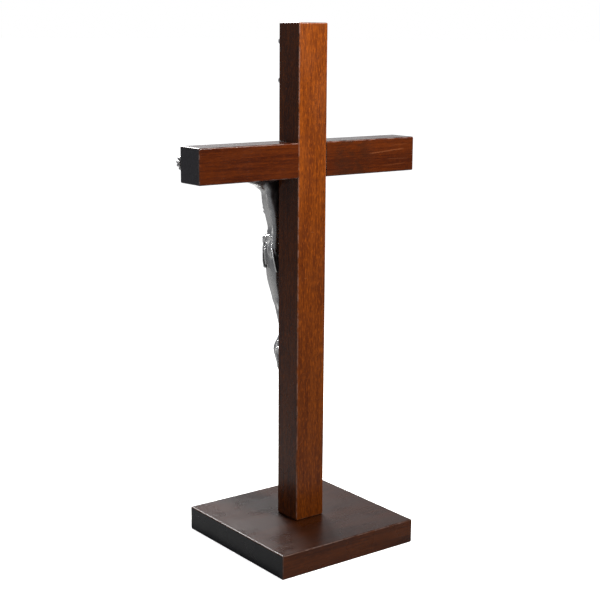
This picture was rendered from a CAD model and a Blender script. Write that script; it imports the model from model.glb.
# A standing cross for a table, in metres: stained beech, a cast and silvered figure in front,
# a blank title plate, and the screw, nails and pins that hold them.
import math

import bmesh
import bpy
import numpy as np
from mathutils import Matrix, Vector


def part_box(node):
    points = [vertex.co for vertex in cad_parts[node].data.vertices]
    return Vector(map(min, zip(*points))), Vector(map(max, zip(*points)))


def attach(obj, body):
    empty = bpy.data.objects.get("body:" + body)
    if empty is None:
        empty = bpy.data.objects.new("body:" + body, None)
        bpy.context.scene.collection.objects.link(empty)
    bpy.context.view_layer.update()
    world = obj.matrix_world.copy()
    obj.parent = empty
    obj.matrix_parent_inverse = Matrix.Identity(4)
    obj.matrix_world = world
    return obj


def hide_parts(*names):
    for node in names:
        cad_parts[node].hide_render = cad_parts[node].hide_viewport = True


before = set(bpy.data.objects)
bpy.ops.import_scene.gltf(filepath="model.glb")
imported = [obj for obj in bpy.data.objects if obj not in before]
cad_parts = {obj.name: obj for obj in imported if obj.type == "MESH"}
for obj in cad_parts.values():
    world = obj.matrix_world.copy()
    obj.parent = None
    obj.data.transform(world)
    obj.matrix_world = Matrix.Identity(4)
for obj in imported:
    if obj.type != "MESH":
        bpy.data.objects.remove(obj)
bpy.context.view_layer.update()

MM = 0.001
SIDES = (-1, 1)

# The wood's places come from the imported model.
FOOT_LOW, FOOT_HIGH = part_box("base_plate")
POST_LOW, POST_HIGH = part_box("upright_post")
BAR_LOW, BAR_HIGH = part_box("crossbar")
BAR_CENTRE = (BAR_LOW.z + BAR_HIGH.z) / 2
EASED_EDGE = 0.9 * MM
LAP_CLEARANCE = 0.1 * MM

# The figure, in millimetres: where the wood's front is along Y, how far off it the figure's back is
# cut flat, how fine the grids are that it is sculpted on and how much coarser for a quick export,
# the distance that they start with, how many triangles are kept, how close vertices are merged,
# and the shortest edge that is left.
WOOD_FRONT = -10.0
FLAT_BACK = 0.3
BODY_STEP = 0.3
HEAD_STEP = 0.2
FAR = 9.0
CASTING_FACES = 185000
MERGED_REACH = 0.01
SHORTEST_EDGE = 0.005

# Where the silver stays dark: how far off the wood, at which distances metal in front of it counts,
# and how dark it is where it faces the wood and where it only faces away from the front.
UNPOLISHED_REACH = 5.0
LOOK_AHEAD = (0.4, 0.9, 1.8)
DARK_BEHIND = 0.9
DARK_ASIDE = 0.27

# The photograph's camera, fitted to the corners of the foot, post and bar.
CAMERA_PLACE = Vector((0.464951, 0.615518, 0.312343))
CAMERA_FORWARD = Vector((-0.58920, -0.78204, -0.20313))
CAMERA_ROLL = math.radians(0.392)
CAMERA_LENS = 77.423
SENSOR = 36.0

# The stage looks white and is lit by a grey room with a white card across from the camera. The
# silver mirrors a white strip of the floor to the figure's left.
CARD_WAY = (-0.60, -0.80, 0.0)
ACROSS_CARD = (-0.80, 0.60, 0.0)
STRIP_WAY = (0.951, -0.309, 0.0)
ACROSS_STRIP = (0.309, 0.951, 0.0)
ROOM_GREY = (0.20, 0.205, 0.22)
TABLE_GREY = (0.16, 0.165, 0.17)
TABLE_GLOW = (0.09, 0.09, 0.095)
WHITE = (1.0, 1.0, 1.0)
STAGE_REACH = 60.0

# Lights: name, place, what each looks at, size, power, spread in degrees, colour.
LIGHTS = [
    ("key", (-0.17, 0.50, 0.66), (0, 0, 0.30), (0.16, 0.16), 2.15, 57, (1.0, 0.95, 0.88)),
    ("table_light", (-0.35, -0.5, 1.5), (-0.25, -0.35, 0), (1.0, 1.0), 2.0, 140, WHITE),
    ("front_fill", (-0.25, -0.90, 0.80), (0, 0, 0.18), (0.45, 0.45), 2.3, 70, WHITE),
    ("side_strip", (0.90, 0.02, 0.55), (0.02, -0.02, 0.19), (0.02, 0.4), 0.075, 40, WHITE),
]

# Pale lines in the bar's grain: where each starts along X, its height there, its slope, its length
# in mm, and how strong it is.
PALE_LINES = [(-42, 240.0, 0.07, 31, 0.30), (-56, 236.3, -0.02, 20, 0.12), (-52, 232.0, 0.05, 22, 0.10),
              (-60, 244.4, 0.03, 16, 0.12)]


# Stage

def make_camera():
    forward = CAMERA_FORWARD.normalized()
    level = forward.cross(Vector((0, 0, 1))).normalized()
    upright = level.cross(forward)
    right = level * math.cos(CAMERA_ROLL) + upright * math.sin(CAMERA_ROLL)
    up = right.cross(forward)
    data = bpy.data.cameras.new("camera")
    data.lens, data.sensor_width = CAMERA_LENS, SENSOR
    data.clip_start, data.clip_end = 0.01, 50
    camera = bpy.data.objects.new("camera", data)
    bpy.context.scene.collection.objects.link(camera)
    turn = Matrix((right, up, -forward)).transposed().to_4x4()
    camera.matrix_world = Matrix.Translation(CAMERA_PLACE) @ turn
    bpy.context.scene.camera = camera


def soft_light(name, place, target, size, power, spread, colour):
    data = bpy.data.lights.new(name, "AREA")
    data.shape, data.energy, data.spread, data.color = "ELLIPSE", power, math.radians(spread), colour
    data.size, data.size_y = size
    light = bpy.data.objects.new(name, data)
    bpy.context.scene.collection.objects.link(light)
    light.location = place
    light.rotation_mode = "QUATERNION"
    light.rotation_quaternion = (Vector(target) - Vector(place)).to_track_quat("-Z", "Y")
    light.visible_camera = False


def studio():
    """A white stage in a grey room, with a white card that fades with its height, and lights."""
    scene = bpy.context.scene
    scene.view_settings.view_transform = "Standard"
    world = bpy.data.worlds.new("studio")
    scene.world = world
    world.use_nodes = True
    tree = Tree(world.node_tree)
    direction = tree.add("ShaderNodeTexCoord").outputs["Generated"]
    height = tree.dot(direction, (0, 0, 1))
    fading = tree.times(tree.range(height, 0.03, 0.06, 1, 0.45), tree.range(height, 0.35, 0.60, 1, 0))
    card = tree.times(tree.range(tree.dot(direction, CARD_WAY), 0.84, 0.97), fading)
    room = tree.mix(card, ROOM_GREY, WHITE)
    tree.join(tree.mix(tree.seen(), room, WHITE), tree.find("BACKGROUND").inputs["Color"])
    for light in LIGHTS:
        soft_light(*light)

    floor_mesh = bpy.data.meshes.new("floor")
    corners = [(x * STAGE_REACH, y * STAGE_REACH, 0) for x, y in ((-1, -1), (1, -1), (1, 1), (-1, 1))]
    floor_mesh.from_pydata(corners, [], [(0, 1, 2, 3)])
    floor = bpy.data.objects.new("floor", floor_mesh)
    scene.collection.objects.link(floor)
    floor.data.materials.append(floor_material())


# Materials

def fill(node, **inputs):
    for name, value in inputs.items():
        node.inputs[name.replace("_", " ")].default_value = value


class Tree:
    """Short names for the few things that every node tree here needs."""

    def __init__(self, tree):
        self.nodes, self.links = tree.nodes, tree.links

    def find(self, kind):
        return next(n for n in self.nodes if n.type == kind)

    def add(self, kind, **settings):
        node = self.nodes.new(kind)
        for name, value in settings.items():
            setattr(node, name, value)
        return node

    def join(self, source, target):
        self.links.new(source, target)

    def place(self):
        return self.add("ShaderNodeTexCoord").outputs["Object"]

    def seen(self):
        """1 where the camera looks straight at the surface, 0 where the object is lit by it."""
        return self.add("ShaderNodeLightPath").outputs["Is Camera Ray"]

    def split(self, vector):
        parts = self.add("ShaderNodeSeparateXYZ")
        self.join(vector, parts.inputs[0])
        return parts.outputs

    def dot(self, vector, way):
        node = self.add("ShaderNodeVectorMath", operation="DOT_PRODUCT")
        self.join(vector, node.inputs[0])
        node.inputs[1].default_value = way
        return node.outputs["Value"]

    def number(self, operation, *inputs):
        node = self.add("ShaderNodeMath", operation=operation)
        for socket, value in zip(node.inputs, inputs):
            if isinstance(value, (int, float)):
                socket.default_value = value
            else:
                self.join(value, socket)
        return node.outputs[0]

    def times(self, first, second):
        return self.number("MULTIPLY", first, second)

    def plus(self, first, second):
        return self.number("ADD", first, second)

    def minus(self, first, second):
        return self.number("SUBTRACT", first, second)

    def size(self, value):
        return self.number("ABSOLUTE", value)

    def range(self, value, low, high, to_low=0.0, to_high=1.0):
        node = self.add("ShaderNodeMapRange", interpolation_type="SMOOTHSTEP")
        self.join(value, node.inputs["Value"])
        fill(node, From_Min=low, From_Max=high, To_Min=to_low, To_Max=to_high)
        return node.outputs["Result"]

    def mix(self, share, first, second):
        node = self.add("ShaderNodeMix", data_type="RGBA")
        for socket, value in zip((node.inputs[0], node.inputs[6], node.inputs[7]), (share, first, second)):
            if isinstance(value, tuple):
                socket.default_value = (*value, 1)
            else:
                self.join(value, socket)
        return node.outputs[2]

    def noise(self, place, scale, detail=2.0, roughness=0.5, distortion=0.0):
        """Noise in millimetres: "scale" is how many waves a millimetre holds along each axis."""
        mapping = self.add("ShaderNodeMapping")
        fill(mapping, Scale=[s / MM for s in scale])
        self.join(place, mapping.inputs["Vector"])
        node = self.add("ShaderNodeTexNoise")
        self.join(mapping.outputs[0], node.inputs["Vector"])
        fill(node, Scale=1.0, Detail=detail, Roughness=roughness, Distortion=distortion)
        return node.outputs["Fac"]

    def even_noise(self, place, scale, detail, roughness=0.6):
        return self.noise(place, (scale, scale, scale), detail, roughness)

    def relief(self, height, shader, depth, strength):
        bump = self.add("ShaderNodeBump")
        fill(bump, Distance=depth, Strength=strength)
        self.join(height, bump.inputs["Height"])
        self.join(bump.outputs["Normal"], shader.inputs["Normal"])


def new_material(name):
    material = bpy.data.materials.new(name)
    material.use_nodes = True
    tree = Tree(material.node_tree)
    return material, tree, tree.find("BSDF_PRINCIPLED")


def toned(colour, share, veil=0.0):
    return tuple(c * share + veil for c in colour)


def floor_material():
    """Pale to the camera. To the object it is grey beside it, so that its dark sides stay dark, and
    white only beyond it and in a narrow strip to the figure's left, for the silver to mirror."""
    material, tree, shader = new_material("pale_floor")
    place = tree.place()

    def sector(way, across, narrow, start, end):
        aside = tree.times(tree.size(tree.dot(place, across)), narrow)
        return tree.range(tree.minus(tree.dot(place, way), aside), start, end)

    seen = tree.seen()
    tree.join(tree.mix(seen, TABLE_GREY, toned(WHITE, 0.84)), shader.inputs["Base Color"])
    glow = tree.mix(sector(CARD_WAY, ACROSS_CARD, 1.4, 0.02, 0.20), TABLE_GLOW, toned(WHITE, 0.92))
    glow = tree.mix(sector(STRIP_WAY, ACROSS_STRIP, 3.0, 0.35, 0.50), glow, toned(WHITE, 0.85))
    tree.join(tree.mix(seen, glow, toned(WHITE, 0.92)), shader.inputs["Emission Color"])
    fill(shader, Roughness=0.9, Specular_IOR_Level=0.1, Emission_Strength=1.0)
    material.cycles.emission_sampling = "NONE"
    return material


def stained_beech(name, grain, pale, deep, end, gloss, fleck, seed, marks=None):
    """Beech under a dark stain and satin lacquer. "grain" is the axis that the fibres follow, and
    "marks" adds to the colour, from its tree and place."""
    material, tree, shader = new_material(name)
    unshifted = tree.place()
    shifted = tree.add("ShaderNodeVectorMath", operation="ADD")
    tree.join(unshifted, shifted.inputs[0])
    shifted.inputs[1].default_value = (seed, seed * 0.7, seed * 0.4)
    place = shifted.outputs[0]

    def stretched(along, across, *look):
        return tree.noise(place, [along if axis == grain else across for axis in range(3)], *look)

    figure = stretched(0.010, 0.11, 3, 0.55, 0.6)
    streaks = stretched(0.030, 0.9, 3, 0.6, 0.2)
    fibres = stretched(0.12, 3.4, 2, 0.6)
    flecks = stretched(0.26, 1.4, 2, 0.5, 0.3)
    pores = stretched(0.42, 3.2, 1, 0.4)
    tone = tree.plus(tree.times(figure, 0.55), tree.times(streaks, 0.45))
    colour = tree.mix(tree.range(tone, 0.36, 0.62), deep, pale)
    colour = tree.mix(tree.range(fibres, 0.40, 0.75, 0, 0.35), colour, deep)
    colour = tree.mix(tree.range(flecks, 0.50, 0.68, 0, 0.5 * fleck), colour, toned(pale, 1.7))
    colour = tree.mix(tree.range(flecks, 0.36, 0.48, 0.4 * fleck, 0), colour, deep)
    colour = tree.mix(tree.range(pores, 0.62, 0.72, 0, 0.75 * fleck), colour, toned(deep, 0.35))
    if marks:
        colour = marks(tree, unshifted, place, colour)

    facing = tree.split(tree.add("ShaderNodeNewGeometry").outputs["True Normal"])
    sizes = [tree.size(facing[axis]) for axis in range(3)]
    rings = tree.even_noise(place, 0.9, 3)
    end_colour = tree.mix(tree.range(rings, 0.35, 0.65), toned(end, 0.8), end)
    colour = tree.mix(tree.range(sizes[grain], 0.75, 0.95), colour, end_colour)
    flattest = tree.number("MAXIMUM", tree.number("MAXIMUM", sizes[0], sizes[1]), sizes[2])
    rubbed = tree.range(tree.even_noise(place, 0.16, 3), 0.38, 0.62, 0.1, 0.9)
    edge = tree.times(tree.range(flattest, 0.90, 0.995, 1, 0), rubbed)
    colour = tree.mix(tree.times(edge, 0.65), colour, toned(pale, 0.9, 0.07))
    colour = tree.mix(tree.range(facing["Z"], 0.75, 0.95, 0, 0.6), colour, toned(deep, 0.15))
    tree.join(colour, shader.inputs["Base Color"])

    haze = tree.even_noise(place, 0.05, 2, 0.5)
    tree.join(tree.range(haze, 0.3, 0.7, *gloss), shader.inputs["Roughness"])
    fill(shader, Specular_IOR_Level=0.3)
    tree.relief(tree.minus(tree.times(fibres, 0.4), tree.range(pores, 0.6, 0.72)), shader, 0.03 * MM, 0.5)
    return material


def bar_marks(tree, place, shifted, colour):
    """The bar's back: a smoky band beside the post, and pale lines of grain near the far end."""
    at = tree.split(place)
    off_band = tree.size(tree.plus(at["X"], 29 * MM))
    cloud = tree.noise(shifted, (0.06, 0.06, 0.10), 3, 0.6, 0.8)
    smoke = tree.times(tree.range(off_band, 6 * MM, 21 * MM, 1, 0), tree.range(cloud, 0.35, 0.6))
    colour = tree.mix(tree.times(smoke, 0.7), colour, (0.014, 0.004, 0.0012))
    for start, height, slope, length, strength in PALE_LINES:
        along = tree.minus(start * MM, at["X"])
        off = tree.size(tree.minus(at["Z"], tree.plus(tree.times(along, slope), height * MM)))
        begun = tree.range(along, 0, 5 * MM)
        going = tree.range(along, (length - 4) * MM, length * MM, 1, 0)
        near = tree.range(off, 0.1 * MM, 0.45 * MM, strength, 0)
        colour = tree.mix(tree.times(tree.times(begun, going), near), colour, (0.15, 0.055, 0.022))
    return colour


def silvered(name):
    """Polished silver plate on a casting, darkened in the hollows."""
    material, tree, shader = new_material(name)
    place = tree.place()
    hollow = tree.add("ShaderNodeAttribute", attribute_name="hollow").outputs["Fac"]
    cloud = tree.even_noise(place, 0.35, 3)
    dark = tree.range(tree.plus(hollow, tree.times(cloud, 0.22)), 0.24, 0.66)
    colour = tree.mix(tree.range(cloud, 0.3, 0.7), (0.80, 0.79, 0.775), (0.92, 0.915, 0.90))
    tree.join(tree.mix(dark, colour, (0.085, 0.075, 0.07)), shader.inputs["Base Color"])
    fine = tree.even_noise(place, 2.2, 3)
    rough = tree.plus(tree.range(fine, 0.3, 0.7, 0.15, 0.23), tree.times(dark, 0.28))
    tree.join(rough, shader.inputs["Roughness"])
    fill(shader, Metallic=1.0)
    tree.relief(fine, shader, 0.02 * MM, 0.35)
    return material


def plated(name, colour, roughness):
    """Plated steel with fine scratches."""
    material, tree, shader = new_material(name)
    place = tree.place()
    scratches = tree.noise(place, (6.0, 1.2, 6.0), 2, 0.6)
    dull = tree.range(tree.even_noise(place, 0.8, 2, 0.5), 0.35, 0.7, 0, 0.5)
    tree.join(tree.mix(dull, colour, toned(colour, 0.6)), shader.inputs["Base Color"])
    tree.join(tree.range(scratches, 0.3, 0.7, roughness, roughness + 0.12), shader.inputs["Roughness"])
    fill(shader, Metallic=1.0)
    return material


# Meshes

def new_object(name, mesh, material):
    piece = bpy.data.objects.new(name, mesh)
    bpy.context.scene.collection.objects.link(piece)
    piece.data.materials.clear()
    piece.data.materials.append(material)
    return piece


def from_bmesh(name, made, material):
    mesh = bpy.data.meshes.new(name)
    made.to_mesh(mesh)
    made.free()
    return new_object(name, mesh, material)


def stands_for(piece, node):
    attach(piece, "root")
    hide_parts(node)


def settle(piece, kind, **settings):
    """Applies a modifier to a piece's mesh."""
    modifier = piece.modifiers.new(kind.lower(), kind)
    for name, value in settings.items():
        setattr(modifier, name, value)
    graph = bpy.context.evaluated_depsgraph_get()
    mesh = bpy.data.meshes.new_from_object(piece.evaluated_get(graph))
    old = piece.data
    piece.modifiers.clear()
    piece.data = mesh
    bpy.data.meshes.remove(old)
    mesh.name = piece.name


def remove(piece):
    mesh = piece.data
    bpy.data.objects.remove(piece)
    bpy.data.meshes.remove(mesh)


def triangles(mesh):
    return sum(len(face.vertices) - 2 for face in mesh.polygons)


def box_mesh(low, high):
    made = bmesh.new()
    bmesh.ops.create_cube(made, size=1)
    low, high = Vector(low), Vector(high)
    place = Matrix.Translation((low + high) / 2) @ Matrix.Diagonal((*(high - low), 1))
    bmesh.ops.transform(made, matrix=place, verts=made.verts)
    return made


def planed(name, low, high, material):
    """A planed and sanded piece of wood: a block with its edges eased."""
    made = box_mesh(low, high)
    bmesh.ops.bevel(made, geom=made.edges[:], offset=EASED_EDGE, segments=5, profile=0.5, affect="EDGES",
                    clamp_overlap=True)
    return from_bmesh(name, made, material)


def turned_mesh(profile, segments=32):
    """A turned shape along +Z: points of radius and height, the first and last on the axis."""
    made = bmesh.new()
    turns = [2 * math.pi * i / segments for i in range(segments)]
    rings = []
    for radius, height in profile:
        ring = [(radius * math.cos(t), radius * math.sin(t), height) for t in turns]
        rings.append([made.verts.new(place) for place in (ring if radius else [(0, 0, height)])])
    for below, above in zip(rings, rings[1:]):
        for i in range(segments):
            j = (i + 1) % segments
            corners = [ring[k % len(ring)] for ring, k in ((below, i), (below, j), (above, j), (above, i))]
            made.faces.new(list(dict.fromkeys(corners)))
    bmesh.ops.recalc_face_normals(made, faces=made.faces[:])
    return made


def placed(made, angle, axis, place):
    """Turns a mesh about an axis and moves it to its place."""
    bmesh.ops.rotate(made, matrix=Matrix.Rotation(angle, 3, axis), verts=made.verts)
    bmesh.ops.translate(made, vec=place, verts=made.verts)
    return made


def join_to(piece, other, solver):
    """Joins another piece's mesh to a piece, and removes the other piece."""
    settle(piece, "BOOLEAN", object=other, operation="UNION", solver=solver)
    remove(other)


def cut_away(piece, cutters):
    """Cuts closed meshes out of a piece, and removes them."""
    for made in cutters:
        cutter = from_bmesh("cutter", made, piece.data.materials[0])
        settle(piece, "BOOLEAN", object=cutter, operation="DIFFERENCE", solver="EXACT")
        remove(cutter)


def smooth(piece, sharp=50):
    """Shades a piece smooth, with its flat faces flat and its cut edges sharp."""
    piece.data.shade_smooth()
    piece.data.set_sharp_from_angle(angle=math.radians(sharp))
    piece.modifiers.new("normals", "WEIGHTED_NORMAL").keep_sharp = True


# Wood

def wood():
    foot = planed("foot", FOOT_LOW, FOOT_HIGH, stained_beech(
        "stained_beech_foot", 0, (0.058, 0.0135, 0.0016), (0.024, 0.005, 0.0005), (0.003, 0.003, 0.004),
        (0.24, 0.34), 0.5, 0.3))
    wide, narrow, below, above = 4.3 * MM, 2.3 * MM, -2 * MM, 16 * MM
    cut_away(foot, [turned_mesh([(0, below), (wide, below), (wide, 0.9 * MM), (narrow, 2.9 * MM),
                                 (narrow, above), (0, above)])])
    post = planed("post", POST_LOW, POST_HIGH, stained_beech(
        "stained_beech_post", 2, (0.096, 0.0215, 0.0010), (0.042, 0.0078, 0.0004), (0.030, 0.010, 0.004),
        (0.20, 0.28), 1.0, 1.7))
    reach = 30 * MM
    notch = (BAR_HIGH.z - BAR_LOW.z) / 2 + LAP_CLEARANCE
    cut_away(post, [box_mesh((-reach, -reach, BAR_CENTRE - notch), (reach, 0, BAR_CENTRE + notch))])
    bar = planed("bar", BAR_LOW, BAR_HIGH, stained_beech(
        "stained_beech_bar", 0, (0.044, 0.0080, 0.0003), (0.019, 0.0028, 0.0001), (0.046, 0.043, 0.047),
        (0.16, 0.24), 0.45, 4.1, bar_marks))
    notch = (POST_HIGH.x - POST_LOW.x) / 2 + LAP_CLEARANCE
    cut_away(bar, [box_mesh((-notch, 0, BAR_CENTRE - reach), (notch, reach, BAR_CENTRE + reach))])
    for piece, node in ((foot, "base_plate"), (post, "upright_post"), (bar, "crossbar")):
        smooth(piece)
        stands_for(piece, node)


# Screw, nails and pins

def countersunk_screw(material):
    low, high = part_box("base_screw")
    top = high.z - low.z
    head, shank, point = 4.0 * MM, 2.0 * MM, 0.15 * MM
    made = turned_mesh([(0, 0), (3.75 * MM, 0), (head, 0.2 * MM), (head, 0.4 * MM), (shank, 2.4 * MM),
                        (shank, top - 4 * MM), (point, top), (0, top)], 48)
    bmesh.ops.translate(made, vec=(0, 0, low.z), verts=made.verts)
    screw = from_bmesh("screw", made, material)
    arm_length, wide, deep = 2.2 * MM, 0.45 * MM, 1.6 * MM
    cut_away(screw, [box_mesh((-x, -y, -MM), (x, y, low.z + deep))
                     for x, y in ((arm_length, wide), (wide, arm_length))])
    smooth(screw, 35)
    stands_for(screw, "base_screw")


def domed_nail(node, material, head_radius, shank, dome):
    """A nail driven into the wood along +Y, its head towards the front."""
    low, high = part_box(node)
    length = high.y - low.y
    rim = [(head_radius * math.sin(t), dome * (1 - math.cos(t))) for t in np.linspace(0, math.pi / 2, 9)]
    under, point = dome * 1.12, 2.2 * shank
    made = turned_mesh([*rim, (head_radius * 0.96, under), (shank, under), (shank, length - point),
                        (0, length)])
    middle = (low + high) / 2
    nail = from_bmesh(node, placed(made, -math.pi / 2, "X", (middle.x, low.y, middle.z)), material)
    smooth(nail, 60)
    stands_for(nail, node)


# Title plate

def bowed_strip(width, thick, bow, seat, middle, height):
    """A strip across X that bows forwards between its lower and upper ends."""
    made = bmesh.new()
    edges = []
    for x, depth in ((-width, thick), (width, thick), (width, 0), (-width, 0)):
        edges.append([made.verts.new((x, seat - depth - bow * (1 - t * t), middle + height * t))
                      for t in np.linspace(-1, 1, 41)])
    for first, second in zip(edges, edges[1:] + edges[:1]):
        for corners in zip(first, second, second[1:], first[1:]):
            made.faces.new(corners)
    for end in (0, -1):
        made.faces.new([edge[end] for edge in edges])
    bmesh.ops.recalc_face_normals(made, faces=made.faces[:])
    return made


def title_plate(material):
    """A blank strip that bows forwards between two rolled ends, pierced for its pins."""
    low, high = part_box("title_plate")
    middle, seat = (low.z + high.z) / 2, high.y
    roll, half, hole_radius, hole_reach = 1.5 * MM, 8.5 * MM, 0.75 * MM, 10 * MM
    height = (high.z - low.z) / 2 - roll
    plate = from_bmesh("title_plate", bowed_strip(half, 1.2 * MM, 0.6 * MM, seat, middle, height), material)
    wide = half + 0.5 * MM
    step = wide - 0.35 * MM
    rings = [(0, wide), (0.55, wide), (0.62, step), (0.9, step), (1, wide - 0.45 * MM)]
    profile = [(roll * r, -x) for r, x in rings] + [(roll * r, x) for r, x in reversed(rings)]
    ends = bmesh.new()
    for way in SIDES:
        holder = bpy.data.meshes.new("roll")
        tube = placed(turned_mesh(profile, 40), math.pi / 2, "Y", (0, seat - roll, middle + way * height))
        tube.to_mesh(holder)
        tube.free()
        ends.from_mesh(holder)
        bpy.data.meshes.remove(holder)
    join_to(plate, from_bmesh("rolls", ends, material), "EXACT")
    for node in ("title_pin_upper", "title_pin_lower"):
        pin = sum(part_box(node), Vector()) / 2
        hole = turned_mesh([(0, -hole_reach), (hole_radius, -hole_reach), (hole_radius, hole_reach),
                            (0, hole_reach)], 24)
        cut_away(plate, [placed(hole, math.pi / 2, "X", (pin.x, seat, pin.z))])
    smooth(plate, 40)
    stands_for(plate, "title_plate")


# The figure, sculpted as distances on a grid

def oval_distance(offsets, radii):
    """Roughly how far a place is from an oval form, given its offsets from the middle."""
    ratio = np.sqrt(sum((offset / radius) ** 2 for offset, radius in zip(offsets, radii)))
    slope = np.sqrt(sum((offset / radius ** 2) ** 2 for offset, radius in zip(offsets, radii)))
    return ratio * (ratio - 1) / np.maximum(slope, 1e-6)


class Clay:
    """A block of distances to a surface, negative inside, on a regular grid. The body's is in
    millimetres sideways to the figure's left, out from the wood, and up from the bar's middle."""

    def __init__(self, low, high, step):
        self.low = np.array(low, float)
        self.step = step
        self.counts = np.ceil((np.array(high) - self.low) / step).astype(int) + 1
        self.field = np.full(self.counts, FAR, np.float32)

    def window(self, low, high):
        """The part of the grid in a box: its slices, and the three coordinates to broadcast."""
        start = np.maximum(np.floor((np.array(low) - self.low) / self.step).astype(int), 0)
        stop = np.minimum(np.ceil((np.array(high) - self.low) / self.step).astype(int) + 1, self.counts)
        cuts = tuple(slice(a, b) for a, b in zip(start, stop))
        axes = [self.low[i] + self.step * np.arange(start[i], stop[i], dtype=np.float32) for i in range(3)]
        return cuts, np.meshgrid(*axes, indexing="ij", sparse=True)

    def work(self, cuts, made, blend, carve=False):
        """Adds a form to a part of the grid, or takes it away."""
        way = -1 if carve else 1
        self.field[cuts] = way * soft_min(way * self.field[cuts], made.astype(np.float32), blend)

    def egg(self, centre, radii, blend=0.6, turn=0.0, carve=False):
        """An egg-shaped lump or hollow, turned in the plane of the figure's front."""
        centre, radii = np.array(centre, float), np.array(radii, float)
        reach = radii.max() if turn else radii
        margin = blend + 2 * self.step
        cuts, (x, y, z) = self.window(centre - reach - margin, centre + reach + margin)
        dx, dy, dz = x - centre[0], y - centre[1], z - centre[2]
        c, s = np.cos(turn), np.sin(turn)
        self.work(cuts, oval_distance((dx * c + dz * s, dy, dz * c - dx * s), radii), blend, carve)

    def limb(self, stations, across=(1, 0, 0), blend=0.8, fine=4, ripple=None, carve=False):
        """A tube through stations. "across" is the way its width runs. "ripple" lowers its surface
        by the turn round it and the share of its length."""
        rows = smooth_line(full_rows(stations), fine)
        across = np.array(across, float)
        margin = blend + 2 * self.step
        reach = rows[:, 3:].max(1)[:, None]
        cuts, _ = self.window((rows[:, :3] - reach).min(0) - margin, (rows[:, :3] + reach).max(0) + margin)
        made = np.full(self.counts, FAR, np.float32)
        for i, (a, b) in enumerate(zip(rows[:-1], rows[1:])):
            r = max(a[3:].max(), b[3:].max()) + margin
            part, place = self.window(np.minimum(a[:3], b[:3]) - r, np.maximum(a[:3], b[:3]) + r)
            along = b[:3] - a[:3]
            length = np.linalg.norm(along)
            along = along / length
            wide = across - along * (across @ along)
            wide = wide / np.linalg.norm(wide)
            front = np.cross(along, wide)
            front = front if front[1] > 0 else -front
            offset = [p - start for p, start in zip(place, a)]
            run, side, out = (offset[0] * way[0] + offset[1] * way[1] + offset[2] * way[2]
                              for way in (along, wide, front))
            share = np.clip(run / length, 0, 1)
            half, front_depth, back_depth = (a[k] + share * (b[k] - a[k]) for k in (3, 4, 5))
            depth = np.where(out > 0, front_depth, back_depth)
            if ripple:
                drop = ripple(np.arctan2(out, side), (i + share) / (len(rows) - 1))
                half, depth = half - drop, depth - drop
            past = run - share * length
            value = oval_distance((side, out, past), (half, depth, np.minimum(half, depth)))
            made[part] = np.minimum(made[part], value.astype(np.float32))
        self.work(cuts, made[cuts], blend, carve)

    def sample(self, points):
        """The distance at any points, those off the grid counting as its nearest edge."""
        at = (points - self.low) / self.step
        off = np.linalg.norm(at - np.clip(at, 0, self.counts - 1), axis=1) * self.step
        at = np.clip(at, 0, self.counts - 1.001)
        cell = at.astype(int)
        share = at - cell
        made = 0
        for corner in np.ndindex(2, 2, 2):
            weight = np.prod(np.where(corner, share, 1 - share), 1)
            made = made + weight * self.field[tuple((cell + corner).T)]
        return made + off

    def settle(self):
        """Fills the cells where the surface would touch itself along an edge."""
        low, high = slice(None, -1), slice(1, None)
        found = True
        while found:
            inside = self.field < 0
            found = False
            for axis in range(3):
                views = [(*pair[:axis], slice(None), *pair[axis:])
                         for pair in ((low, low), (low, high), (high, low), (high, high))]
                a, b, c, d = (inside[view] for view in views)
                for outer, crossed in ((views[1], a & d & ~b & ~c), (views[0], b & c & ~a & ~d)):
                    self.field[outer][crossed] = -0.02 * self.step
                    found = found or crossed.any()

    def surface(self):
        """Vertices and four-cornered faces of the largest closed part of the zero surface."""
        self.settle()
        inside = self.field < 0
        cells = tuple(n - 1 for n in inside.shape)
        corners = [np.array(c) for c in np.ndindex(2, 2, 2)]
        mixed = np.zeros(cells, bool)
        for i, j, k in corners:
            mixed |= inside[i:cells[0] + i, j:cells[1] + j, k:cells[2] + k] ^ inside[:-1, :-1, :-1]
        where = np.argwhere(mixed)
        number = np.full(cells, -1, np.int32)
        number[mixed] = np.arange(len(where))
        total, count = np.zeros((len(where), 3)), np.zeros(len(where))
        values = [self.field[tuple((where + c).T)] for c in corners]
        for m, a in enumerate(corners):
            for n, b in enumerate(corners):
                if m < n and np.abs(a - b).sum() == 1:
                    crossed = (values[m] < 0) != (values[n] < 0)
                    share = values[m][crossed] / (values[m][crossed] - values[n][crossed])
                    total[crossed] += a + share[:, None] * (b - a)
                    count[crossed] += 1
        points = self.low + self.step * (where + total / count[:, None])
        faces = []
        for axis in range(3):
            u, v = (axis + 1) % 3, (axis + 2) % 3
            ahead, behind = [slice(None)] * 3, [slice(None)] * 3
            ahead[axis], behind[axis] = slice(1, None), slice(None, -1)
            a, b = inside[tuple(behind)], inside[tuple(ahead)]
            one, two = np.eye(3, dtype=int)[[u, v]]
            for way, edge in ((1, a & ~b), (-1, ~a & b)):
                at = np.argwhere(edge)
                at = at[(at[:, u] > 0) & (at[:, v] > 0) & (at[:, u] < cells[u]) & (at[:, v] < cells[v])]
                ring = [at - one - two, at - two, at, at - one]
                faces.append(np.stack([number[tuple(q.T)] for q in ring[::way]], 1))
        quads = np.concatenate(faces)
        kept = in_largest(len(points), quads.ravel(), np.roll(quads, -1, 1).ravel())
        return points[kept], (np.cumsum(kept) - 1)[quads[kept[quads[:, 0]]]]


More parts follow.
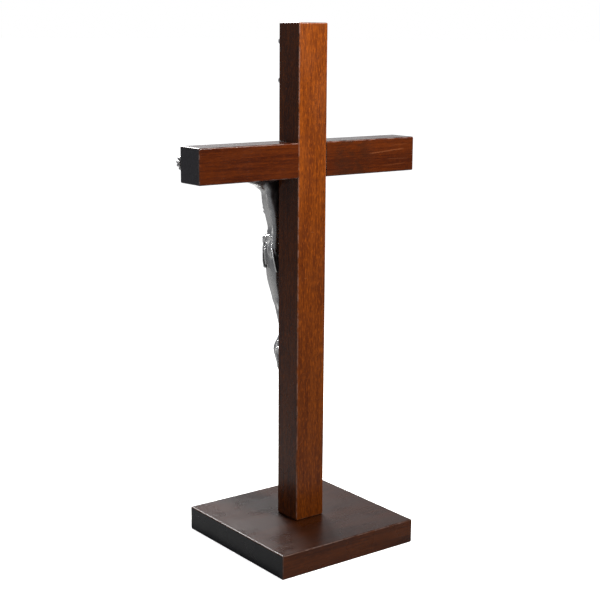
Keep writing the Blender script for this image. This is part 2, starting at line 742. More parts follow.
class Half:
    """One side of the clay: sideways counts away from the middle, and turns are mirrored too."""

    def __init__(self, clay, side):
        self.clay, self.side = clay, side

    def limb(self, stations, **look):
        self.clay.limb([[self.side * x, *rest] for x, *rest in stations], **look)

    def egg(self, centre, radii, blend, turn=0.0, **look):
        x, *rest = centre
        self.clay.egg((self.side * x, *rest), radii, blend, self.side * turn, **look)


def halves(clay):
    return [Half(clay, side) for side in SIDES]


def in_largest(count, start, end):
    """Which of a number of points are in the largest group that edges from start to end connect."""
    group = np.arange(count)
    while (group[start] != group[end]).any():
        one, other = group[start], group[end]
        lower = np.minimum(one, other)
        np.minimum.at(group, one, lower)
        np.minimum.at(group, other, lower)
        group = group[group]
    return group == np.bincount(group).argmax()


def soft_min(a, b, blend):
    """The lower of two distances, rounded where they are within the blend of each other."""
    near = np.maximum(blend - np.abs(a - b), 0) / blend
    return np.minimum(a, b) - near * near * blend * 0.25


def full_rows(stations):
    """Stations of sideways, out, up, half width, front depth and back depth. A depth that is left
    out is as the number before it."""
    return np.array([[*s, *[s[-1]] * (6 - len(s))] for s in stations], float)


def smooth_line(rows, fine):
    """Rows of numbers, with curved steps between them."""
    if len(rows) < 3:
        return rows
    ends = np.vstack([2 * rows[0] - rows[1], rows, 2 * rows[-1] - rows[-2]])
    made = []
    for p0, p1, p2, p3 in zip(ends, ends[1:], ends[2:], ends[3:]):
        for t in np.arange(fine) / fine:
            made.append(0.5 * (2 * p1 + (p2 - p0) * t + (2 * p0 - 5 * p1 + 4 * p2 - p3) * t * t
                               + (3 * p1 - p0 - 3 * p2 + p3) * t ** 3))
    return np.array([*made, rows[-1]])


def ease(value, low, high):
    t = np.clip((value - low) / (high - low), 0, 1)
    return t * t * (3 - 2 * t)


def bump(x, z, sideways, up, wide, high, out, lean=0):
    """How far a soft feature stands out; "lean" is how much it climbs on its way outwards."""
    return out * np.exp(-((x - sideways) / wide) ** 2 - ((z - up - lean * (x - sideways)) / high) ** 2)


UP = (0, 0, 1)

TRUNK = [[-0.4, 8.8, -12, 5, 4], [0, 8.8, -15, 11, 6, 4.6], [0, 9.2, -20, 14.6, 7.6, 6],
         [0, 9.8, -26, 14.3, 8.6, 6.6], [0.2, 10, -32, 12.9, 8.9, 6.7], [0.3, 9.9, -38, 11.2, 8, 6.2],
         [0.4, 9.7, -44, 10, 7.1, 5.7], [0.4, 9.9, -50, 10.6, 7.6, 6], [0.4, 10.1, -56, 11.6, 8, 6.4],
         [0.2, 10.2, -61, 11.4, 7.8, 6.2]]


def trunk_relief(x, z):
    forms = [(0, -22.5, 0.8, 5.2, -1), (0.3, -39.5, 0.55, 8.5, -0.5), (0.4, -46.6, 0.75, 0.9, -1.5),
             (0.4, -45.5, 1.1, 0.5, 0.3), (0, -36, 5.2, 5.5, -0.7)]
    for side in SIDES:
        forms += [(side * 6, -20.6, 4.6, 3.4, 1.7), (side * 9.8, -18, 3.4, 2.6, 0.8),
                  (side * 6.2, -24.9, 3.9, 0.8, -0.55, side * 0.1), (side * 6.9, -22, 0.45, 0.45, 0.5)]
        forms += [(side * (8.3 - row * 0.75), -27 - row * 2.75, 3.1, 0.78, 0.62, side * 0.26)
                  for row in range(5)]
        forms += [(side * 4.3, -31.8, 1.6, 0.9, 0.45, side * -1.1)]
        forms += [(side * 2.3 + 0.3, -35 - row * 3.7, 1.9, 1.35, 0.75) for row in range(3)]
        forms += [(side * 5.4, -40, 0.7, 6.5, -0.5, side * -0.1),
                  (side * 7.6, -46.6, 2.4, 1.1, 0.6, side * 0.5)]
    return sum(bump(x, z, *form) for form in forms)


def back_relief(x, z):
    forms = [(0.1, -32, 0.9, 16, -1.1)]
    for side in SIDES:
        forms += [(side * 6.6, -22, 3.4, 4.4, 0.9), (side * 3, -38, 1.8, 9, 0.6)]
    return sum(bump(x, z, *form) for form in forms)


def upright(clay, stations, blend, relief, flat_back=2, ends=1.2):
    """A form whose level sections are ovals, closed above and below. "flat_back" is 2 for a
    round back, and more for one that is flat with rounded corners."""
    stations = full_rows(stations)
    rows = smooth_line(stations[::-1], 6)
    low, high = stations[-1][2], stations[0][2]
    widest = max(abs(s[0]) + s[3] for s in stations) + 3
    cuts, (x, y, z) = clay.window((-widest, -1, low - 2), (widest, 26, high + 2))
    middle, out, half, front, back = (np.interp(z, rows[:, 2], rows[:, i]) for i in (0, 1, 3, 4, 5))
    dx, dy = x - middle, y - out
    depth = np.where(dy > 0, front, back)
    power = np.where(dy > 0, 2, flat_back)
    side, deep = np.abs(dx / half), np.abs(dy / depth)
    ratio = (side ** power + deep ** power) ** (1 / power)
    slope = np.hypot(side ** (power - 1) / half, deep ** (power - 1) / depth)
    value = (ratio - 1) * ratio ** (power - 1) / np.maximum(slope, 1e-3) - relief(dx, dy, z)
    past = np.maximum(z - high, low - z) + ends
    clay.work(cuts, np.where(past > 0, np.hypot(np.maximum(value + ends, 0), past) - ends, value), blend)


def trunk(clay):
    def relief(dx, dy, z):
        front, behind = ease(dy / 6, 0, 0.5), ease(-dy / 6, 0.1, 0.6)
        return trunk_relief(dx, z) * front + back_relief(dx, z) * behind

    upright(clay, TRUNK, 0.5, relief, flat_back=4)
    for half in halves(clay):
        half.limb([[13, 8, -16.5, 2.8, 3.4], [12.9, 8.3, -23, 2.2, 4.2], [11.6, 8.8, -30.5, 1.3, 3.2]],
                  blend=2.4)
        for row in range(4):
            half.egg((12.3 - row * 0.42, 12.9 - row * 0.1, -25.6 - row * 2.7), (1.3, 1.8, 0.85), 0.9, 0.35)
        half.limb([[0.9, 14.6, -14.9, 0.75], [5, 14.5, -14.2, 0.7], [9.5, 13.2, -13.2, 0.75]], blend=1)
        half.limb([[3, 5.4, -12.5, 2.6], [9, 6.2, -15, 3.2], [14, 7, -15.8, 3]], blend=1.8)


def neck(clay):
    clay.limb([[0, 8.2, -17, 4.6, 3.8], [-0.5, 9.4, -12, 3.7], [-1.4, 11.6, -6, 3.7]], blend=1.4)
    for side in SIDES:
        clay.limb([[side * 0.9 - 0.2, 14.1, -14.6, 0.6], [side * 2 - 0.7, 14, -11, 0.75],
                   [side * 3.6 - 1.4, 13, -7, 0.8]], blend=0.8)


def arm(half):
    half.limb([[6.5, 9.6, -18.5, 4.6], [11.5, 9.4, -17.2, 5.4, 5.2], [17, 8.7, -14.2, 5, 4.8],
               [24, 7.7, -11.2, 3.9], [32, 6.9, -9, 3.25, 3.3], [38.5, 6.4, -7.7, 2.75, 2.85],
               [46, 5.8, -6, 2.95, 2.75], [54, 4.7, -3.9, 2.5, 2.3], [61, 3.6, -2.2, 2.15, 1.75],
               [66, 2.9, -1.1, 2.3, 1.6]], across=UP, blend=2, fine=9)
    for centre, radii, blend, turn in (((15.5, 9.8, -13.6), (5.4, 4.6, 4.3), 2, 0.35),
                                       ((10.5, 12.6, -17.4), (5.2, 2.6, 3.4), 2, 0.3),
                                       ((26.5, 9, -9.3), (7.2, 2.7, 2.5), 1.6, 0.28),
                                       ((25, 6.6, -12.8), (7.4, 2.8, 2.4), 1.6, 0.32),
                                       ((43.5, 6.9, -5.1), (6.4, 2, 1.9), 1.5, 0.24),
                                       ((44, 5.4, -7.8), (6.6, 2.2, 1.7), 1.5, 0.22),
                                       ((38, 4.9, -9.2), (1.7, 1.4, 1.2), 1.6, 0)):
        half.egg(centre, radii, blend, turn)
    for offset in (-0.7, 0.5):
        half.limb([[50, 6.6, -4.4 + offset, 0.35], [56, 6.1, -3 + offset, 0.35],
                   [62, 5.1, -1.6 + offset, 0.32], [66.5, 4.2, -0.8 + offset, 0.3]], blend=0.7)


def hand(half):
    half.limb([[63.5, 3.2, -1.6, 2.2, 1.6], [67, 2.6, -0.7, 3.2, 1.7], [71, 2.5, -0.1, 3.9, 1.6],
               [74.2, 2.9, 0.1, 3.8, 1.3]], across=UP, blend=1)
    half.egg((68.2, 3.6, 2.2), (2.6, 1.3, 1.5), 0.7, 0.5)
    half.egg((68.6, 3.4, -3), (2.9, 1.1, 1.1), 0.7)
    for order, reach in enumerate([76.4, 77.3, 77, 75.9]):
        level = 3.05 - order * 2.05
        size = 1 if order < 3 else 0.86
        half.limb([[72, 2.7, level * 0.95, size * 1.02], [reach - 2.2, 3.2, level, size],
                   [reach - 0.4, 4.3, level * 0.98, size * 0.97],
                   [reach + 0.1, 5.9, level * 0.93, size * 0.88],
                   [reach - 1.1, 7.2, level * 0.86, size * 0.74]], blend=0.25, fine=3)
        half.egg((reach - 0.1, 4.2, level), (1.05, 1.05, 1.05), 0.3)
    half.limb([[66.2, 3.2, 1.4, 1.35], [68.9, 4.4, 3.7, 1.15], [71.2, 5.3, 4.5, 0.95],
               [72.8, 5.7, 4.3, 0.78]], blend=0.5, fine=3)
    half.limb([[69, 4.9, -2.6, 0.25], [71, 4.6, 1.2, 0.25], [71.2, 4.9, 2.6, 0.2]], blend=0.5, carve=True)


# Each leg: the stations of thigh, shin and sole, the middles of knee and calf, then for the toes
# their middle, how far out they are, how much they slant, the way to the big toe, and how far the
# tendons start above the sole's middle.
LEFT_LEG = {
    "thigh": [[5.6, 9.6, -56, 5.9, 6.2, 5.5], [5.2, 10.2, -67, 6, 6.1, 5.4], [4.2, 10.9, -75, 5.6, 5.7, 5.2],
              [2.2, 11.4, -83.5, 4.8, 5, 4.6], [0.9, 11.3, -88.5, 4.6, 4.9, 4.4]],
    "shin": [[0.9, 11.3, -88, 4.4, 4.4, 4.2], [0.9, 9.6, -94, 4.1, 3.8, 4.2], [0.9, 7.6, -101, 3.8, 3.2, 4],
             [1.2, 5.4, -109, 2.8, 2.5, 2.8], [1.5, 4, -115.5, 2.4]],
    "sole": [[1.6, 3.8, -113.5, 2.3, 2.4], [1.7, 3.5, -119, 2.6, 2.2, 2.6], [1, 3.5, -124, 2.9, 1.9, 2.5],
             [0, 3.8, -128.4, 3, 1.3, 1.9]],
    "knee": (0.8, 15.2, -88.6), "calf": (1.6, 5.6, -98.5), "toes": (-0.15, 3.9, -0.22, -1, 1.1),
}
RIGHT_LEG = {
    "thigh": [[-5.7, 9.6, -56, 5.9, 6.2, 5.5], [-6.4, 10.6, -67, 6, 6.2, 5.4],
              [-7.6, 11.8, -76, 5.6, 5.7, 5.2], [-8.2, 12.8, -84.5, 4.8, 5, 4.6],
              [-8.3, 12.8, -89.5, 4.6, 4.9, 4.4]],
    "shin": [[-8.3, 12.7, -89, 4.4, 4.4, 4.2], [-6.4, 12, -95, 4.1, 3.8, 4.2],
             [-4.3, 11.1, -102, 3.7, 3.2, 4], [-1, 9.9, -110, 2.8, 2.5, 2.7],
             [1.3, 9.2, -116, 2.4, 2.5, 2.4]],
    "sole": [[1.4, 9.3, -114, 2.3, 2.6, 2.4], [3, 10.2, -119.5, 2.8, 3.1, 2.8], [2.6, 9.3, -124.5, 3, 2.4],
             [2.2, 8.4, -128.6, 3, 1.4, 1.8]],
    "knee": (-8.4, 16.8, -89.6), "calf": (-5.6, 8.8, -99), "toes": (1.95, 8.3, -0.20, 1, 2),
}

# The toes from the big one on: half width and length.
TOES = [(1, 4.4), (0.72, 4.2), (0.68, 3.8), (0.65, 3.4), (0.62, 2.9)]


def leg(clay, thigh, shin, sole, knee, calf, toes):
    clay.limb(thigh, blend=1.2, fine=9)
    clay.limb(shin, blend=1, fine=9)
    x, out, up = knee
    for dx, dy, dz, radii, blend in (
            (0, 0, 0, (2.5, 1.7, 2.4), 1.3), (-1.9, -1.4, 3.4, (1.7, 1.8, 2.6), 1.2),
            (2, -1.4, 3.2, (1.7, 1.8, 2.6), 1.2), (0.1, -1.2, -4, (1.1, 1.2, 1.9), 1)):
        clay.egg((x + dx, out + dy, up + dz), radii, blend)
    clay.egg(calf, (3.5, 3.2, 6.4), 1.6)
    clay.egg((thigh[2][0], thigh[2][1] + 2.4, -71), (4.4, 4, 9), 1.6)
    clay.limb([[s[0] + 0.3, s[1] + s[4] * 0.82, s[2], 0.5] for s in shin[1:4]], blend=1.6)
    foot(clay, sole, *toes)


def foot(clay, sole, middle, out, slant, inner, tendons):
    clay.limb(sole, blend=0.9, fine=9)
    for order, (radius, length) in enumerate(TOES):
        start = middle + inner * (2.15 - order * 1.12)
        high = 0.1 * order + 0.1 * order * order
        spread = inner * (0.10 - 0.06 * order) + slant
        toe = [[-0.2, 0, radius * 0.9], [0.5, 2.2, radius * 0.86], [0.3, 2.2 + length * 0.45, radius],
               [-0.3, 2.2 + length * 0.8, radius * 0.84]]
        clay.limb([[start + spread * down, out + rise, -127 + high - down, size] for rise, down, size in toe],
                  blend=0.25, fine=5)
        down = 2.2 + length * 0.78
        clay.egg((start + spread * down, out - 0.1 + radius * 0.9, -127 + high - down),
                 (radius * 0.6, 0.3, 0.5), 0.1)
        clay.limb([[start * 0.4 + sole[2][0] * 0.6, sole[2][1] + tendons, -121.5, 0.3],
                   [start, out + 0.75, -127.8, 0.36]], blend=0.5)
    for way in SIDES:
        clay.egg((sole[0][0] + way * 2.2, sole[0][1] - 0.2, sole[0][2] - 1.2), (0.9, 1.2, 1.5), 1)
    clay.egg((sole[1][0], sole[1][1] - 2.2, -120.5), (2.2, 2.4, 2.6), 0.9)


CLOTH = [[0.4, 10, -47.6, 10.6, 7.6, 6.2], [0.3, 10, -50.5, 11.4, 8.4, 6.7], [0, 10.3, -54, 11.9, 8.6, 6.8],
         [-0.3, 10.5, -58.5, 12.3, 8.8, 6.9], [-0.5, 10.6, -63, 12.2, 8.6, 6.8],
         [-0.6, 10.5, -67.5, 11.7, 8.2, 6.5], [-0.6, 10.4, -69.5, 11.3, 8, 6.4]]
KNOT = (10.3, 12.3, -50.6)
# Two strands of the knot, from its middle sideways. Then the cloth's hanging end: where each fold
# ends sideways and out, its length, and its half width.
KNOT_STRANDS = [[[-1.8, 14.2, -48.8, 0.8], [0.2, 14.8, -50.4, 1], [1.2, 13.8, -52.4, 0.8]],
                [[1.6, 10.4, -48.6, 0.8], [1.4, 13.6, -49.6, 0.9], [-1, 14.7, -51.6, 0.8]]]
HANGING_FOLDS = [(8.5, 15.4, 12.6, 1.05), (10.5, 14.6, 15.6, 1.1), (12.1, 12.6, 16.2, 1.05),
                 (12.7, 10.3, 13.8, 0.95)]


def cloth_relief(dx, dy, z):
    """Folds that fan out from the knot across the front, and hang straight at the sides and
    behind, and a hem that curls in."""
    front = ease(dy / 6, -0.1, 0.7)
    right = ease(-dx / 12, 0.35, 0.95)
    above = z - KNOT[2] - 3
    run = np.hypot(dx - KNOT[0], above)
    fan = np.arctan2(-above, -(dx - KNOT[0]) + 4)
    swags = np.sin(fan * 15 + 0.10 * run + 0.5) * ease(run, 2, 8) * 0.85
    swags = swags + 0.25 * np.sin(fan * 31 + 1.3)
    turn = np.arctan2(dy, dx)
    hang = np.cos(turn * 13 + 0.9 * np.sin(z * 0.16) + 0.6)
    folds = (front * (1 - right) * swags + (1 - front * (1 - right)) * hang * 0.95) * ease(-z, 49.5, 60)
    hem = 1.2 * np.sin(turn * 5 + 0.7) + 0.8 * np.sin(turn * 11)
    lift = np.maximum(CLOTH[-1][2] + 2.6 + hem - z, 0)
    return folds - 0.9 * lift * lift


def loincloth(clay):
    upright(clay, CLOTH, 0.25, cloth_relief, ends=0.5)
    turns = np.linspace(0, 2 * np.pi, 25)
    band = [[0.3 + 10.4 * c, 9.9 + (7.7 if s > 0 else 6.1) * s, -49.6 + 0.9 * c, 1.3]
            for c, s in zip(np.cos(turns), np.sin(turns))]
    clay.limb(band, across=UP, blend=0.3, fine=3,
              ripple=lambda angle, share: 0.28 + 0.28 * np.cos(2 * angle - share * 60))
    clay.egg(KNOT, (2.6, 2.5, 2.3), 0.4)
    for strand in KNOT_STRANDS:
        clay.limb([[KNOT[0] + x, *rest] for x, *rest in strand], blend=0.2)
    folds = []
    for index, (x, out, length, size) in enumerate(HANGING_FOLDS):
        sway = 0.25 * np.sin(index * 2.1)
        folds.append([[KNOT[0] + (x - KNOT[0]) * 0.3, KNOT[1] + (out - KNOT[1]) * 0.6, -51, 0.8],
                      [x + sway, out, -51 - length * 0.35, size * 0.95],
                      [x - sway, out - 0.3, -51 - length * 0.7, size],
                      [x - 0.3, out - 0.6, -51 - length, size * 1.05]])
        clay.limb(folds[-1], across=(0.6, -0.8, 0), blend=0.1, fine=6)
    for one, other in zip(folds, folds[1:]):
        groove = [[(a[0] + b[0]) / 2 + 0.35, (a[1] + b[1]) / 2 + 0.3, (a[2] + b[2]) / 2 - 0.6, 0.48]
                  for a, b in zip(one, other)]
        clay.limb(groove, blend=0.12, fine=6, carve=True)
    clay.limb([[9.8, 6.8, -54, 2, 1.1], [10, 4.6, -59, 2.1, 1], [9.9, 3, -64, 1.9, 0.9],
               [9.6, 2.1, -69, 1.3, 0.8]], blend=0.6, ripple=lambda angle, share: 0.18 * np.cos(5 * angle))


def shoulder_locks(clay):
    """Hair that falls in front of the left shoulder and curls at its end."""
    curl = [[5 + np.cos(t), 14.4 + 0.75 * np.cos(t), -16.2 + 1.25 * np.sin(t), 0.62 - 0.04 * t]
            for t in np.linspace(0.6, 5.6, 9)]
    clay.limb([[4.6, 14.6, -8, 1], [5.4, 14.8, -11.5, 0.95], [6.2, 15, -14.4, 0.8], *curl],
              blend=0.25, fine=3, ripple=strands(0.2, 4))
    clay.limb([[5.6, 15.4, -9, 1.1], [6.9, 16, -12.5, 1.15], [8.6, 16.2, -15, 1], [8.4, 15.9, -18, 0.9],
               [9.7, 15.6, -20.2, 0.4]], blend=0.25, ripple=strands(0.25, 4))
    clay.limb([[4.4, 16.8, -10, 1.1], [5.6, 17.6, -13.5, 1.1], [5, 17.4, -17, 0.95], [6.2, 17, -20.5, 0.4]],
              blend=0.25, ripple=strands(0.25, 4, 1))


def body(step):
    low, high = (-79, -1, -137), (79, 26, 8)
    clay = Clay(low, high, step)
    trunk(clay)
    clay.egg((0.2, 1.2, -31), (9.4, 3, 13.5), 0.6, carve=True)
    neck(clay)
    shoulder_locks(clay)
    for stations in (RIGHT_LEG, LEFT_LEG):
        leg(clay, **stations)
    loincloth(clay)
    for half in halves(clay):
        arm(half)
        hand(half)
    cuts, (x, y, z) = clay.window(low, (79, 2.5, 8))
    clay.field[cuts] = np.maximum(clay.field[cuts], (FLAT_BACK - y + 0 * x + 0 * z).astype(np.float32))
    return clay


# The head, in its own frame: sideways, forwards, up, from its middle

def face(clay):
    """Generic and calm: eyes half way up, and thirds from hairline to brow, nose and chin."""
    clay.egg((0, -0.9, 2.2), (6.2, 7.6, 6.6), 0.5)
    clay.egg((0, 1.6, -1.6), (5.1, 5, 6.6), 2)
    clay.egg((0, 3.4, -6.6), (3, 2.6, 2.4), 1.6)
    clay.egg((0, 4.3, -3.6), (3.2, 2.5, 3.2), 1.4)
    clay.egg((0, 5.2, -5), (2.3, 1.5, 1.7), 0.8)
    for half in halves(clay):
        half.egg((3.5, 3.9, -2), (1.7, 1.5, 1.5), 1.2)
        half.egg((2.4, 6.1, -0.15), (1.45, 1.5, 0.95), 0.7, carve=True)
    clay.limb([[-4.2, 4.6, 0.9, 0.5], [-2.4, 6, 1.35, 0.6], [-0.9, 6.5, 1, 0.45], [0, 6.6, 0.85, 0.4],
               [0.9, 6.5, 1, 0.45], [2.4, 6, 1.35, 0.6], [4.2, 4.6, 0.9, 0.5]], blend=0.9)
    for half in halves(clay):
        half.egg((2.4, 4.75, -0.2), (1.35, 1.1, 1), 0.25)
        half.limb([[1.2, 5.5, -0.45, 0.1], [2.4, 5.85, -0.75, 0.12], [3.6, 5.2, -0.45, 0.1]],
                  blend=0.12, carve=True)
        half.limb([[1.1, 5.7, 0.35, 0.1], [2.4, 5.9, 0.75, 0.1], [3.7, 5, 0.3, 0.1]], blend=0.2, carve=True)
    clay.limb([[0, 5.9, 0.9, 0.8], [0, 6.6, -0.8, 0.72], [0, 7.5, -2.6, 0.85], [0, 7.6, -3.1, 0.8]],
              blend=0.9)
    clay.limb([[0, 7.4, -3.5, 0.4], [0, 6.5, -4.1, 0.45]], blend=0.4)
    for half in halves(clay):
        half.egg((0.85, 7, -3.35), (0.6, 0.85, 0.52), 0.35)
        half.egg((0.48, 7.3, -3.95), (0.24, 0.4, 0.22), 0.1, carve=True)
    clay.limb([[-1.6, 5.9, -5.25, 0.22], [-0.6, 6.75, -4.95, 0.36], [0, 6.75, -5.05, 0.32],
               [0.6, 6.75, -4.95, 0.36], [1.6, 5.9, -5.25, 0.22]], blend=0.4)
    clay.limb([[-1.3, 5.9, -5.75, 0.28], [0, 6.65, -5.95, 0.48], [1.3, 5.9, -5.75, 0.28]], blend=0.4)
    clay.limb([[-1.9, 5.9, -5.45, 0.1], [0, 7.2, -5.45, 0.12], [1.9, 5.9, -5.45, 0.1]],
              blend=0.15, carve=True)


def strands(amount, count, phase=0):
    """Shallow grooves that run along a lock of hair."""
    return lambda angle, share: amount * (0.5 + 0.5 * np.cos(count * angle + phase + 1.5 * np.sin(share * 7)))


# Locks of the beard, each through three places.
BEARD_LOCKS = [((5.4, 0.8, -2), (5.1, 1.6, -5.2), (4.2, 2.8, -8.6)),
               ((5, 2, -3.2), (4.5, 2.9, -6.6), (3.3, 3.8, -9.8)),
               ((4.2, 3.2, -4.6), (3.6, 4, -7.8), (2.4, 4.6, -11)),
               ((2.9, 4.7, -6), (2.6, 5.2, -8.8), (1.7, 5.2, -12.2)),
               ((1.5, 5.6, -6.8), (1.5, 5.9, -9.2), (1, 5.5, -12.8))]


def beard(clay):
    for half in halves(clay):
        half.limb([[0.25, 6.9, -4.35, 0.5], [1.5, 6.5, -4.75, 0.6], [2.6, 5.6, -6, 0.5],
                   [2.9, 5, -7.4, 0.35]], blend=0.25, ripple=strands(0.16, 5))
    for index, (root, (x1, out1, up1), (x2, out2, up2)) in enumerate(BEARD_LOCKS):
        wave = 0.3 * (-1) ** index
        for half in halves(clay):
            half.limb([[*root, 0.9], [x1 + wave, out1, up1, 1.25], [x2 - wave * 0.5, out2, up2 + 1.6, 0.95],
                       [x2 * 0.9, out2 - 0.3, up2, 0.35]], blend=0.3, ripple=strands(0.3, 4, index))
    clay.limb([[0, 5.7, -7, 0.8], [0, 6.1, -8.6, 1], [0, 5.6, -11, 0.6]], blend=0.3, ripple=strands(0.28, 4))
    clay.egg((0, 3.2, -8.4), (3.4, 2.8, 3.4), 0.8)


def hair(clay):
    """Locks that leave a parting, follow the skull to the sides and fall in waves."""
    middle, radii = np.array((0, -2, 2.4)), np.array((6.9, 7.5, 6.5))
    clay.egg(middle, radii - 0.2, 0.6)
    clay.egg((0, -2.8, -4), (6.4, 5.2, 7.6), 1.6)

    def scalp(top, down):
        """A place on the skull: "top" is the turn from the front, "down" the turn from the parting."""
        return [radii[0] * np.sin(top) * np.sin(down), middle[1] + radii[1] * np.cos(top),
                middle[2] + radii[2] * np.sin(top) * np.cos(down)]

    for half in halves(clay):
        for index in range(11):
            t = index / 10
            wave = 0.5 * (-1) ** index
            reach = 7.3 + 0.5 * np.sin(index * 1.9)
            half.limb([
                [*scalp(0.62 + 1.75 * t, 0.06), 0.75],
                [*scalp(0.88 + 1.45 * t, 0.65), 1.15],
                [*scalp(1.05 + 1.2 * t, 1.15), 1.3],
                [*scalp(1.18 + 1.05 * t, 1.6), 1.4],
                [reach + wave * 0.5, 0.9 - 7.6 * t, -2.2, 1.4],
                [reach - 0.3 - wave * 0.6, 0.8 - 7 * t, -6.4, 1.4],
                [reach + 0.3 + wave * 0.5 - 1.4 * t, 1.2 - 6.6 * t, -10.2, 1.25],
                [reach - 0.3 - wave * 0.6 - 2.2 * t, 1.6 - 6 * t, -13.6 - 1.2 * np.cos(index * 2.3), 0.5],
            ], blend=0.22, ripple=strands(0.3, 4, index * 1.3))
    for index in range(9):
        x = -5.2 + 1.3 * index
        sway = 0.3 * (-1) ** index
        clay.limb([[x * 0.25, -6.6, 7.2, 0.7], [x * 0.7, -8.9, 4.4, 1.1], [x * 0.95, -9.5, 0.5, 1.3],
                   [x * 1.05, -8.8, -3.6, 1.35], [x * 1.1 + sway, -7.4, -7.6, 1.35],
                   [x * 1.05 - sway, -6.2, -11, 1.1], [x + sway, -5.4, -14, 0.4]],
                  blend=0.22, ripple=strands(0.3, 4, index))


def crown(clay):
    """Three twigs wound round each other, with thorns."""
    wide, long, behind, up = 7.9, 8.3, 1.2, 4.5
    for shift in (0, 2.1, 4.2):
        ring = []
        for turn in np.linspace(0, 2 * np.pi, 49):
            twist = turn * 6 + shift
            away = 0.55 * np.cos(twist)
            ring.append([(wide + away) * np.cos(turn), (long + away) * np.sin(turn) - behind,
                         up + 0.6 * np.sin(twist) + 0.35 * np.sin(turn * 3), 0.62])
        clay.limb(ring, across=UP, blend=0.12, fine=2,
                  ripple=lambda angle, share: 0.05 * np.cos(3 * angle + share * 90))
    for index in range(18):
        turn = index / 18 * 2 * np.pi + 0.2 * np.sin(index * 5)
        way = np.array([np.cos(turn), np.sin(turn)])
        lift = [0.9, -0.7, 0.2][index % 3]
        base = np.array([wide * way[0], long * way[1] - behind])
        thorn = [[*(base + way * off), up + lift * climb, size]
                 for off, climb, size in ((0, 0.4, 0.5), (1, 0.8, 0.3), (2.3, 1.8, 0.12))]
        clay.limb(thorn, blend=0.15, fine=2)


def head(step):
    clay = Clay((-11.5, -12.5, -16.5), (11.5, 11, 11), step)
    face(clay)
    hair(clay)
    beard(clay)
    crown(clay)
    return clay


HEAD_MIDDLE = np.array((-2.2, 14.6, -3.2))


def head_axes():
    """The head's axes in those of the body: turned a little, leant to its right, tipped forwards."""
    made = np.eye(3)
    for first, second, angle in ((1, 0, 0.2), (2, 0, 0.22), (1, 2, 0.36)):
        turn = np.eye(3)
        turn[first, first] = turn[second, second] = math.cos(angle)
        turn[first, second] = math.sin(angle)
        turn[second, first] = -math.sin(angle)
        made = made @ turn
    return made


# The casting

def casting_mesh(name, clay, place):
    points, quads = clay.surface()
    points = place(points)
    made = np.stack([points[:, 0], WOOD_FRONT - points[:, 1], BAR_CENTRE / MM + points[:, 2]], 1) * MM
    mesh = bpy.data.meshes.new(name)
    mesh.vertices.add(len(made))
    mesh.vertices.foreach_set("co", made.astype(np.float32).ravel())
    mesh.loops.add(quads.size)
    mesh.loops.foreach_set("vertex_index", quads[:, ::-1].astype(np.int32).ravel())
    mesh.polygons.add(len(quads))
    mesh.polygons.foreach_set("loop_start", np.arange(0, quads.size, 4, dtype=np.int32))
    mesh.update(calc_edges=True)
    return mesh


def hollows(mesh, parts):
    """How dark each vertex is left by the polishing: how much nearer than it should be the metal
    is, in front of the vertex at three distances, or how far it is turned away from the front,
    where the polishing wheel reaches, and most of all where it faces the wood close by.
    "parts" are the clays, with the way into their axes."""
    place, normal = np.zeros((2, len(mesh.vertices) * 3))
    mesh.vertices.foreach_get("co", place)
    mesh.vertex_normals.foreach_get("vector", normal)
    place, normal = place.reshape(-1, 3) / MM, normal.reshape(-1, 3)
    nearer = np.zeros(len(place))
    for distance in LOOK_AHEAD:
        ahead = place + normal * distance
        figured = np.stack([ahead[:, 0], WOOD_FRONT - ahead[:, 1], ahead[:, 2] - BAR_CENTRE / MM], 1)
        clear = np.min([clay.sample(inward(figured)) for clay, inward in parts], 0)
        nearer += np.clip(1 - clear / distance, 0, 1) / len(LOOK_AHEAD)
    off_wood = WOOD_FRONT - place[:, 1]
    behind = np.clip((normal[:, 1] - 0.45) / 0.4, 0, 1) * np.clip((UNPOLISHED_REACH - off_wood) / 3, 0, 1)
    aside = np.clip((normal[:, 1] + 0.55) / 0.9, 0, 1)
    nearer = np.maximum(nearer, np.maximum(DARK_BEHIND * behind, DARK_ASIDE * aside))
    layer = mesh.attributes.new("hollow", "FLOAT", "POINT")
    layer.data.foreach_set("value", nearer.astype(np.float32))


def drop_loose_bits(mesh):
    """Leaves only the body of metal with the most vertices: specks shut off by a union go."""
    ends = np.zeros(len(mesh.edges) * 2, np.int32)
    mesh.edges.foreach_get("vertices", ends)
    kept = in_largest(len(mesh.vertices), *ends.reshape(-1, 2).T)
    whole = bmesh.new()
    whole.from_mesh(mesh)
    loose = [vertex for vertex in whole.verts if not kept[vertex.index]]
    bmesh.ops.delete(whole, geom=loose, context="VERTS")
    whole.to_mesh(mesh)
    whole.free()


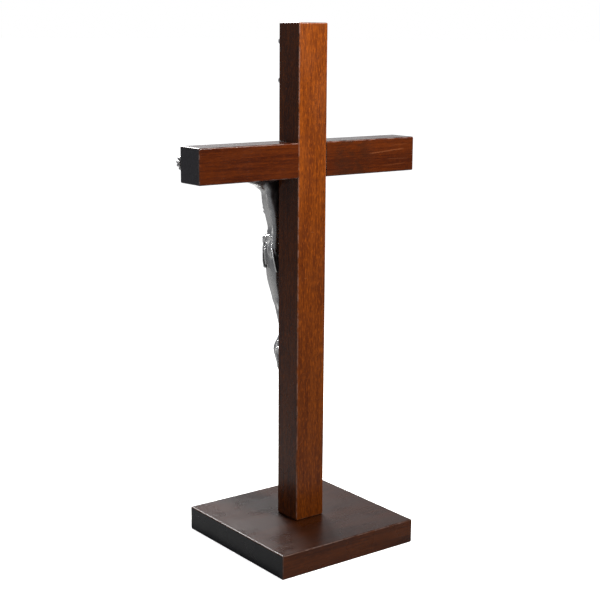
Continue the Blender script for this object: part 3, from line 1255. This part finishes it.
def drop_folds(mesh):
    """Merges vertices in one place, and takes out the faces that then lie back to back or hang by
    one edge."""
    whole = bmesh.new()
    whole.from_mesh(mesh)

    def drop(faces):
        bmesh.ops.delete(whole, geom=faces, context="FACES")

    def drop_flaps():
        drop([face for face in whole.faces if sum(edge.is_boundary for edge in face.edges) > 1])

    def cut_to_triangles():
        bmesh.ops.triangulate(whole, faces=[face for face in whole.faces if len(face.verts) > 3])

    bmesh.ops.remove_doubles(whole, verts=whole.verts, dist=MERGED_REACH * MM)
    bmesh.ops.dissolve_degenerate(whole, edges=whole.edges, dist=SHORTEST_EDGE * MM)
    cut_to_triangles()
    faces_on = {}
    for face in whole.faces:
        faces_on.setdefault(frozenset(vertex.index for vertex in face.verts), []).append(face)
    drop([face for same in faces_on.values() if len(same) > 1 for face in same])
    drop_flaps()
    bmesh.ops.holes_fill(whole, edges=[edge for edge in whole.edges if edge.is_boundary], sides=6)
    cut_to_triangles()
    drop_flaps()
    drop_flaps()
    whole.to_mesh(mesh)
    whole.free()


def figure(material):
    """The casting. Folds are dropped three times, because a round can bare a few more."""
    coarser = 1
    axes = head_axes()
    body_clay, head_clay = body(BODY_STEP * coarser), head(HEAD_STEP * coarser)
    corpus = new_object("corpus", casting_mesh("corpus", body_clay, lambda p: p), material)
    head_mesh = casting_mesh("head", head_clay, lambda p: p @ axes.T + HEAD_MIDDLE)
    join_to(corpus, new_object("head", head_mesh, material), "MANIFOLD")
    drop_loose_bits(corpus.data)
    settle(corpus, "DECIMATE", ratio=min(1, CASTING_FACES / triangles(corpus.data)))
    for _ in range(3):
        drop_folds(corpus.data)
    drop_loose_bits(corpus.data)
    hollows(corpus.data, [(body_clay, lambda p: p), (head_clay, lambda p: (p - HEAD_MIDDLE) @ axes)])
    corpus.data.shade_smooth()
    stands_for(corpus, "corpus")


make_camera()
studio()
wood()
silver = silvered("antique_silver")
nickel = plated("nickel_nail", (0.66, 0.63, 0.58), 0.2)
title_plate(silver)
countersunk_screw(plated("zinc_steel", (0.60, 0.60, 0.58), 0.28))
for hand_node in ("nail_left_hand", "nail_right_hand", "nail_feet"):
    domed_nail(hand_node, nickel, 1.7 * MM, 0.65 * MM, 1.1 * MM)
for pin_node in ("title_pin_upper", "title_pin_lower"):
    domed_nail(pin_node, nickel, 1.1 * MM, 0.45 * MM, 0.7 * MM)
figure(silver)
